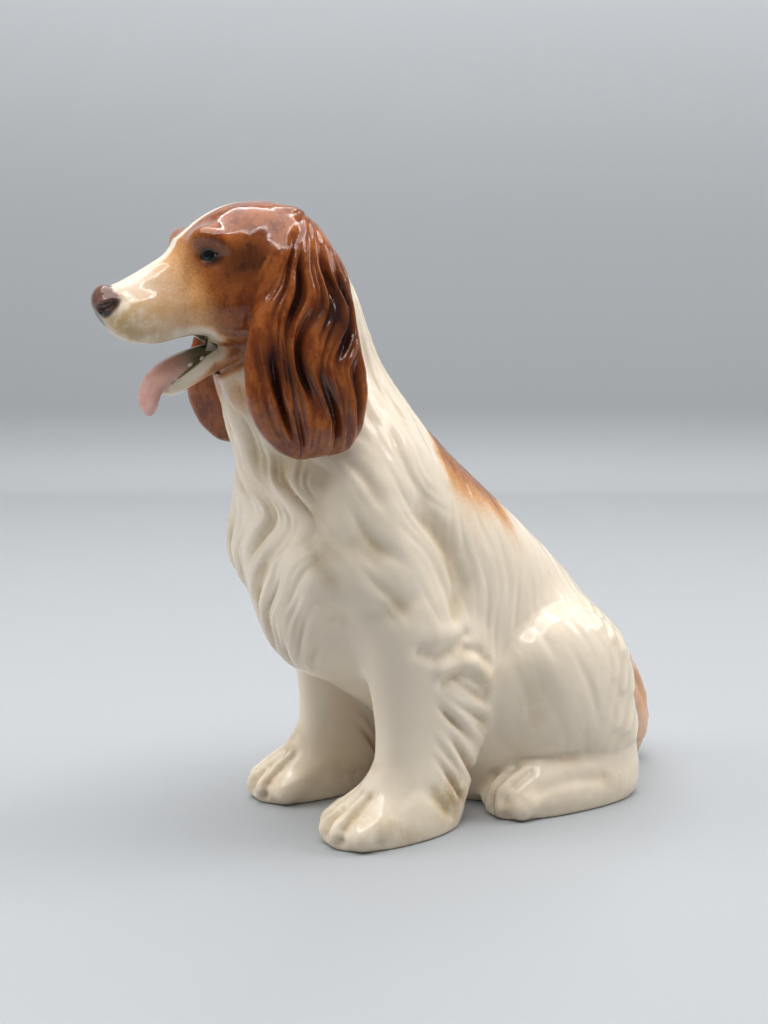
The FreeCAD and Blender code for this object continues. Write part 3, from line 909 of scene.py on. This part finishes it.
def edge_target(p):
    """Longest edge wanted at each point: fine on the face, coarse under the figure."""
    h = in_head(p)
    f = forms(p)
    size = np.full(len(p), 1.15)
    size = np.where(np.minimum(f[4], f[5]) < 1.5, 0.62, size)
    size = np.where(np.minimum(f[1], f[2]) < 1.5, 0.85, size)
    eye = np.linalg.norm(folded(h) - EYE_MIDDLE, axis=1)
    size = np.where(eye < 6, 0.4, size)
    size = np.where((-h[:, 1] > 36) & (f[1] < 1.5), 0.45, size)
    size = np.where((-h[:, 1] > 8) & (np.abs(h[:, 2] + 13) < 8), np.minimum(size, 0.55), size)
    return np.where(p[:, 2] < 1, 2.0, size)


def sculpt():
    """The whole figure's plain surface: points and triangles."""
    v, quads = surface_nets(np.array([-44.0, -100.0, -4.0]), np.array([44.0, 100.0, 180.0]), GRID, 4)
    v = settle(v)
    tris = np.concatenate([quads[:, [0, 1, 2]], quads[:, [0, 2, 3]]])
    v = settle(relax(v, tris, 2))
    for _ in range(2):
        v, tris = refine(v, tris, edge_target)
    v = settle(v)
    return v, tris


def parting(v, tris):
    """The casting that each triangle belongs to, as a row of NAMES, with stray specks merged."""
    middle = v[tris].mean(1)
    f = in_chunks(lambda q: forms(q).T, middle)
    f[:, 0] += np.where(middle[:, 2] > 128, 50, 0)
    own = f.argmin(1)
    _, of_tri = edges_of(tris)
    order = np.argsort(of_tri.ravel(), kind="stable")
    pairs = (order // 3).reshape(-1, 2)
    for _ in range(6):
        votes = np.zeros((len(tris), len(NAMES)), np.int8)
        np.add.at(votes, (pairs[:, 0], own[pairs[:, 1]]), 1)
        np.add.at(votes, (pairs[:, 1], own[pairs[:, 0]]), 1)
        best = votes.argmax(1)
        own = np.where(votes.max(1) >= 2, best, own)
    return own


CAP_RINGS = 6
CAP_UNDER = 2.6


def push_in(p, depth):
    """Moves points that lie outside, or less than depth under the surface, further in."""
    for _ in range(4):
        slope = slope_of(p)
        over = np.maximum(in_chunks(figure, p) + depth, 0)
        p = p - slope * (over / np.maximum((slope * slope).sum(1), 0.2))[:, None]
    return p


def openings(tris):
    """Directed edges round a piece's openings, with a number for each opening."""
    directed = tris[:, [0, 1, 1, 2, 2, 0]].reshape(-1, 2)
    _, back, count = np.unique(np.sort(directed, 1), axis=0, return_inverse=True, return_counts=True)
    rim = directed[count[back.ravel()] == 1]
    group = {}

    def root(a):
        while group.setdefault(a, a) != a:
            a = group[a]
        return a

    for a, b in rim.tolist():
        group[root(a)] = root(b)
    return rim, np.array([root(a) for a in rim[:, 0].tolist()], int)


def cap(tris, points, normals):
    """New points and triangles that close every opening with a skin kept under the figure's surface."""
    rim, label = openings(tris)
    added, caps = [], []
    count = len(points)
    for one in np.unique(label):
        edges = rim[label == one]
        ends = np.unique(edges)
        edge = np.searchsorted(ends, edges)
        middle = points[ends].mean(0)
        outer = push_in(points[ends] - 1.2 * normals[ends], 0.6)
        steps = np.linspace(0, 1, CAP_RINGS + 1)[1:-1]
        rings = [outer] + [push_in(outer + s * (middle - outer), CAP_UNDER) for s in steps]
        before = ends
        for ring in rings:
            here = count + np.arange(len(ends))
            a, b, c, d = before[edge[:, 0]], before[edge[:, 1]], here[edge[:, 0]], here[edge[:, 1]]
            caps += [np.stack([b, a, c], 1), np.stack([b, c, d], 1)]
            added.append(ring)
            count += len(ends)
            before = here
        caps.append(np.stack([before[edge[:, 1]], before[edge[:, 0]], np.full(len(edge), count)], 1))
        added.append(rings[-1].mean(0)[None])
        count += 1
    if not added:
        return np.zeros((0, 3)), tris
    return np.concatenate(added), np.concatenate([tris] + caps)


def linked(name, data):
    """A new object in the scene."""
    made = bpy.data.objects.new(name, data)
    bpy.context.collection.objects.link(made)
    return made


def mesh_object(name, v, tris, normals, masks):
    """A Blender object from points in mm, with its masks as point attributes."""
    mesh = bpy.data.meshes.new(name)
    mesh.vertices.add(len(v))
    mesh.vertices.foreach_set("co", ((v + STATIONS_TO_FRAME) * MM).astype(np.float32).ravel())
    mesh.loops.add(3 * len(tris))
    mesh.loops.foreach_set("vertex_index", tris.astype(np.int32).ravel())
    mesh.polygons.add(len(tris))
    mesh.polygons.foreach_set("loop_start", np.arange(0, 3 * len(tris), 3, dtype=np.int32))
    mesh.polygons.foreach_set("use_smooth", np.ones(len(tris), bool))
    mesh.update()
    mesh.validate()
    mesh.normals_split_custom_set_from_vertices(normals.astype(np.float32))
    for key, values in masks.items():
        layer = mesh.attributes.new(key, "FLOAT", "POINT")
        layer.data.foreach_set("value", values.astype(np.float32))
    return linked(name, mesh)


def teeth_mesh():
    """Small pegs along the top of the jaw, in head coordinates, closed one by one."""
    points, tris = [], []
    around = np.linspace(0, 2 * np.pi, 9)[:-1]
    for fore, tall in TEETH:
        for side in (-1, 1):
            out = side * np.interp(fore, [9, 24], [7.6, 3.2])
            base = np.array([out, -fore, np.interp(fore, [9, 15, 20, 24], [-13.8, -15.6, -18.2, -20.8])])
            start = len(points)
            for up, r in ((-0.8, 0.8), (0.3 * tall, 0.8), (0.8 * tall, 0.5)):
                points += [base + [r * 0.8 * math.cos(t), r * math.sin(t), up] for t in around]
            points += [base + [0, 0, tall], base - [0, 0, 1.0]]
            for ring in (0, 1):
                for k in range(8):
                    a, b = start + 8 * ring + k, start + 8 * ring + (k + 1) % 8
                    tris += [(a, b, b + 8), (a, b + 8, a + 8)]
            for k in range(8):
                tris.append((start + 16 + k, start + 16 + (k + 1) % 8, start + 24))
                tris.append((start + (k + 1) % 8, start + k, start + 25))
    return np.array(points), np.array(tris)


def out_of_head(h):
    """Head to figure."""
    return h @ HEAD_TURN.T + HEAD_AT


def build_pieces():
    """Every casting as its own closed object."""
    plain, tris = sculpt()
    n = vertex_normals(plain, tris)
    height, crease = in_chunks(relief, plain).T
    v = plain + n * height[:, None]
    n = vertex_normals(v, tris)
    own = parting(v, tris)
    masks = in_paint(plain, crease)
    made = {}
    for number, name in enumerate(NAMES):
        mine = tris[own == number]
        used, local = np.unique(mine, return_inverse=True)
        local = local.reshape(-1, 3)
        inner, closed = cap(local, v[used], n[used])
        points = np.concatenate([v[used], inner])
        normals = np.concatenate([n[used], vertex_normals(points, closed)[len(used):]])
        part = {key: np.concatenate([m[used], np.zeros(len(inner))]) for key, m in masks.items()}
        if name == "lower_jaw":
            tooth, faces = teeth_mesh()
            tooth = out_of_head(tooth)
            closed = np.concatenate([closed, faces + len(points)])
            normals = np.concatenate([normals, vertex_normals(tooth, faces)])
            for key, m in part.items():
                part[key] = np.concatenate([m, np.full(len(tooth), float(key == "tooth"))])
            points = np.concatenate([points, tooth])
        made[name] = mesh_object("glazed_" + name, points, closed, normals, part)
    return made


# ======================================================================================
# Glaze
# ======================================================================================
class Tree:
    """Short names for building a material's nodes."""

    def __init__(self, name):
        self.material = bpy.data.materials.new(name)
        self.material.use_nodes = True
        self.nodes = self.material.node_tree.nodes
        self.links = self.material.node_tree.links
        self.nodes.clear()
        self.where = self.nodes.new("ShaderNodeTexCoord").outputs["Object"]

    def put(self, value, socket):
        if isinstance(value, bpy.types.NodeSocket):
            self.links.new(value, socket)
        else:
            socket.default_value = value

    def mask(self, name):
        node = self.nodes.new("ShaderNodeAttribute")
        node.attribute_name = name
        return node.outputs["Fac"]

    def maths(self, kind, a, b):
        node = self.nodes.new("ShaderNodeMath")
        node.operation = kind
        self.put(a, node.inputs[0])
        self.put(b, node.inputs[1])
        return node.outputs[0]

    def plus(self, a, b):
        return self.maths("ADD", a, b)

    def times(self, a, b):
        return self.maths("MULTIPLY", a, b)

    def mix(self, amount, a, b):
        node = self.nodes.new("ShaderNodeMix")
        node.data_type = "RGBA"
        self.put(amount, node.inputs["Factor"])
        for socket, value in ((node.inputs[6], a), (node.inputs[7], b)):
            self.put(value if isinstance(value, bpy.types.NodeSocket) else (*value, 1), socket)
        return node.outputs[2]

    def noise(self, size, detail=2.0, rough=0.5, stretch=(1, 1, 1)):
        """Noise with features about size mm across, longer along an axis by stretch."""
        place = self.nodes.new("ShaderNodeMapping")
        place.inputs["Scale"].default_value = [1 / s for s in stretch]
        self.links.new(self.where, place.inputs["Vector"])
        node = self.nodes.new("ShaderNodeTexNoise")
        node.inputs["Scale"].default_value = 1 / (size * MM)
        node.inputs["Detail"].default_value = detail
        node.inputs["Roughness"].default_value = rough
        self.links.new(place.outputs[0], node.inputs["Vector"])
        return node.outputs["Fac"]

    def steps(self, value, low, high):
        """0 below low, 1 above high. low may be the larger."""
        node = self.nodes.new("ShaderNodeMapRange")
        node.interpolation_type = "SMOOTHSTEP"
        self.put(value, node.inputs["Value"])
        node.inputs["From Min"].default_value = low
        node.inputs["From Max"].default_value = high
        return node.outputs[0]

    def shade(self, colour):
        """A principled shader of that colour, wired to the output."""
        shader = self.nodes.new("ShaderNodeBsdfPrincipled")
        self.links.new(colour, shader.inputs["Base Color"])
        out = self.nodes.new("ShaderNodeOutputMaterial")
        self.links.new(shader.outputs[0], out.inputs["Surface"])
        return shader

    def pinholes(self, spacing, size):
        """Sparse dots, 1 at each dot."""
        node = self.nodes.new("ShaderNodeTexVoronoi")
        node.inputs["Scale"].default_value = 1 / (spacing * MM)
        self.links.new(self.where, node.inputs["Vector"])
        dot = self.steps(node.outputs["Distance"], size / spacing, 0.4 * size / spacing)
        split = self.nodes.new("ShaderNodeSeparateColor")
        self.links.new(node.outputs["Color"], split.inputs[0])
        return self.times(dot, self.steps(split.outputs[0], 0.80, 0.86))


CREAM = (0.83, 0.72, 0.57)
CREAM_POOL = (0.56, 0.46, 0.31)
OCHRE = (0.46, 0.305, 0.115)
APRICOT = (0.66, 0.33, 0.125)
RUSSET = (0.165, 0.036, 0.008)
RUSSET_THIN = (0.36, 0.105, 0.022)
DARK = (0.030, 0.008, 0.005)
PINK = (0.74, 0.44, 0.38)
MOUTH_SHADE_OLIVE = (0.12, 0.10, 0.042)
# painted shade inside the mouth and over the tongue's rear
NOSE = (0.17, 0.085, 0.062)
NOSTRIL = (0.022, 0.018, 0.016)
IRIS = (0.020, 0.020, 0.014)
PUPIL = (0.004, 0.004, 0.005)
TOOTH = (0.74, 0.70, 0.56)


def glaze(name, roughness=0.13):
    """Airbrushed underglaze colours below a clear shiny glaze; masks say where each colour lies."""
    t = Tree(name)
    crease = t.mask("crease")
    mottle = t.noise(5.0, 3.0, 0.6)
    speck = t.noise(0.55, 2.0, 0.6)
    cloud = t.noise(18.0, 2.0)
    # cream body, warmer where the glaze pools
    pool = t.steps(t.plus(crease, t.times(cloud, 0.5)), 0.30, 1.3)
    colour = t.mix(t.times(pool, 0.7), CREAM, CREAM_POOL)
    colour = t.mix(t.times(t.steps(cloud, 0.55, 0.75), 0.10), colour, (0.72, 0.60, 0.52))
    ochre = t.times(t.mask("ochre"), t.steps(mottle, 0.25, 0.62))
    colour = t.mix(ochre, colour, OCHRE)
    # russet, sprayed on in fine specks, thin and orange at its edges
    edge = t.plus(t.mask("russet"), t.times(t.maths("SUBTRACT", speck, 0.5), 0.30))
    edge = t.plus(edge, t.times(t.maths("SUBTRACT", mottle, 0.5), 0.25))
    streak = t.noise(1.5, 3.0, 0.65, (1, 1, 4))
    sprayed = t.plus(t.times(mottle, 0.55), t.times(streak, 0.45))
    thin = t.steps(t.plus(sprayed, t.times(crease, -0.25)), 0.36, 0.62)
    brown = t.mix(thin, RUSSET, RUSSET_THIN)
    brown = t.mix(t.times(t.steps(speck, 0.45, 0.75), 0.3), brown, (0.13, 0.028, 0.008))
    colour = t.mix(t.steps(edge, 0.05, 0.60), colour, APRICOT)
    colour = t.mix(t.steps(edge, 0.40, 0.95), colour, brown)
    # dark paint, with the painted shade in partings and hollows that the dark mask carries
    dark_paint_and_shade = t.plus(t.mask("dark"), t.times(t.maths("SUBTRACT", sprayed, 0.5), 1.9))
    dark_paint_and_shade = t.times(t.steps(dark_paint_and_shade, 0.15, 1.15), t.steps(t.mask("russet"), 0.1, 0.6))
    colour = t.mix(dark_paint_and_shade, colour, DARK)
    # mouth (painted shade in its hollows and over the tongue's rear), nose and eyes
    colour = t.mix(t.mask("mouth"), colour, MOUTH_SHADE_OLIVE)
    colour = t.mix(t.mask("pink"), colour, t.mix(t.steps(mottle, 0.3, 0.7), PINK, (0.62, 0.33, 0.27)))
    colour = t.mix(t.mask("tooth"), colour, TOOTH)
    colour = t.mix(t.mask("nose"), colour, NOSE)
    colour = t.mix(t.mask("nostril_and_shade"), colour, NOSTRIL)
    colour = t.mix(t.mask("iris"), colour, IRIS)
    colour = t.mix(t.mask("pupil"), colour, PUPIL)
    colour = t.mix(t.times(t.pinholes(6.0, 0.22), 0.8), colour, (0.05, 0.035, 0.02))
    # slow waves and a fine orange peel in the glaze itself
    waves = t.plus(t.noise(4.5, 1.0), t.times(t.noise(1.1, 1.0), 0.10))
    bump = t.nodes.new("ShaderNodeBump")
    bump.inputs["Strength"].default_value = 1.0
    bump.inputs["Distance"].default_value = 0.16 * MM
    t.links.new(waves, bump.inputs["Height"])
    shader = t.shade(colour)
    t.links.new(bump.outputs[0], shader.inputs["Normal"])
    rough = t.plus(t.times(t.noise(2.5, 2.0), 0.06), roughness - 0.03)
    t.links.new(rough, shader.inputs["Roughness"])
    shader.inputs["IOR"].default_value = 1.5
    shader.inputs["Coat Weight"].default_value = 0.15
    shader.inputs["Coat Roughness"].default_value = 0.04
    return t.material


# ======================================================================================
# Stage, lights and camera
# ======================================================================================
CAMERA_AT = Vector((0.39086, -0.24170, 0.15988))
CAMERA_TURN = math.radians(59)
CAMERA_DOWN = math.radians(9)
LENS_MM = 56.25


def looking():
    """Unit vectors along the camera's view on the floor plan, and to its right."""
    ahead = Vector((-math.sin(CAMERA_TURN), math.cos(CAMERA_TURN), 0))
    right = Vector((math.cos(CAMERA_TURN), math.sin(CAMERA_TURN), 0))
    return ahead, right


def make_camera():
    data = bpy.data.cameras.new("camera")
    data.lens = LENS_MM
    data.clip_start = 0.01
    data.clip_end = 20
    camera = linked("camera", data)
    ahead, _ = looking()
    gaze = ahead * math.cos(CAMERA_DOWN) + Vector((0, 0, -math.sin(CAMERA_DOWN)))
    camera.location = CAMERA_AT
    camera.rotation_euler = gaze.to_track_quat("-Z", "Y").to_euler()
    bpy.context.scene.camera = camera


def make_floor():
    """A pale floor that sweeps up into a wall behind the figure, graded with painted shade where it turns
    up and painted light higher up the wall.
    """
    ahead, right = looking()
    start, sweep = 0.62, 0.055
    run = [(-3.0, 0.0), (0.0, 0.0), (start, 0.0)]
    for a in np.linspace(0.1, math.pi / 2, 16):
        run.append((start + sweep * math.sin(a), sweep * (1 - math.cos(a))))
    run.append((start + sweep, 3.0))
    points, faces = [], []
    for along, up in run:
        for side in (-3.5, 3.5):
            points.append(ahead * along + right * side + Vector((0, 0, up)))
    for k in range(len(run) - 1):
        faces.append((2 * k, 2 * k + 1, 2 * k + 3, 2 * k + 2))
    mesh = bpy.data.meshes.new("floor")
    mesh.from_pydata(points, [], faces)
    mesh.polygons.foreach_set("use_smooth", [True] * len(faces))
    floor = linked("floor", mesh)
    t = Tree("pale_paper")
    place = t.nodes.new("ShaderNodeSeparateXYZ")
    t.links.new(t.where, place.inputs[0])
    # painted shade: darker where the floor turns up into the wall; painted light: lighter higher up the
    # wall
    tone = t.mix(t.steps(place.outputs[2], -0.004, 0.036), (0.40, 0.415, 0.43), (0.345, 0.36, 0.375))
    tone = t.mix(t.steps(place.outputs[2], 0.16, 0.42), tone, (0.46, 0.475, 0.495))
    shader = t.shade(tone)
    shader.inputs["Roughness"].default_value = 0.55
    shader.inputs["Specular IOR Level"].default_value = 0.25
    mesh.materials.append(t.material)


def make_light(name, along, side, up, wide, tall, watts, mirrored=True, aim=(0, 0, 0.1)):
    """A soft panel placed along the view, to its right and up, all in metres from the figure's foot."""
    ahead, right = looking()
    data = bpy.data.lights.new(name, "AREA")
    data.shape = "RECTANGLE"
    data.size = wide
    data.size_y = tall
    data.energy = watts
    lamp = linked(name, data)
    lamp.location = ahead * along + right * side + Vector((0, 0, up))
    lamp.visible_camera = False
    lamp.visible_glossy = mirrored
    lamp.rotation_euler = (Vector(aim) - lamp.location).to_track_quat("-Z", "Y").to_euler()


RIM = 0.012                                        # width of a softbox's bright edge


def make_softbox(name, along, side, up, wide, tall, watts, rim_watts, aim=(0, 0, 0.1)):
    """A soft panel with a brighter thin band round its edge."""
    make_light(name, along, side, up, wide, tall, watts, aim=aim)
    lamp = bpy.data.objects[name]
    bands = [(-0.5, 0, RIM, tall), (0.5, 0, RIM, tall), (0, -0.5, wide, RIM), (0, 0.5, wide, RIM)]
    for number, (x, y, w, h) in enumerate(bands):
        band = linked(f"{name}_rim_{number}", lamp.data.copy())
        band.data.size = w
        band.data.size_y = h
        band.data.energy = rim_watts
        turn = lamp.rotation_euler.to_matrix()
        band.location = lamp.location + turn @ Vector((x * wide, y * tall, -0.002))
        band.rotation_euler = lamp.rotation_euler
        band.visible_camera = False


def make_lights():
    make_softbox("overhead", 0.05, -0.1, 0.95, 0.9, 0.7, 4.4, 1.2)
    make_light("sky", -0.3, 0.1, 1.2, 1.2, 1.0, 6.7, mirrored=False)
    make_light("left_bank", 0.0, -0.9, 0.5, 0.5, 0.7, 4.6, mirrored=False)
    make_light("right_bank", 0.1, 0.9, 0.5, 0.5, 0.7, 3.8, mirrored=False)
    make_light("front_fill", -1.2, 0.0, 0.7, 0.6, 0.6, 0.5, mirrored=False)
    make_softbox("right_box", 0.15, 0.75, 0.75, 0.35, 0.45, 1.0, 0.25)
    world = bpy.data.worlds.new("room")
    bpy.context.scene.world = world
    world.use_nodes = True
    world.node_tree.nodes["Background"].inputs[0].default_value = (0.97, 0.98, 1.0, 1)
    world.node_tree.nodes["Background"].inputs[1].default_value = 0.12


SLOT = {"head_shell": "russet_head_glaze", "lower_jaw": "russet_head_glaze", "tongue": "pink_glaze",
        "left_ear": "russet_ear_glaze", "right_ear": "russet_ear_glaze", "tail": "russet_tail_glaze"}


def main():
    make_camera()
    glazes = {}
    for name, piece in build_pieces().items():
        slot = SLOT.get(name, "cream_glaze")
        if slot not in glazes:
            glazes[slot] = glaze(slot)
        piece.data.materials.append(glazes[slot])
        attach(piece, "root")
        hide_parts(name)
    make_floor()
    make_lights()
    bpy.context.scene.view_settings.view_transform = "Standard"


main()
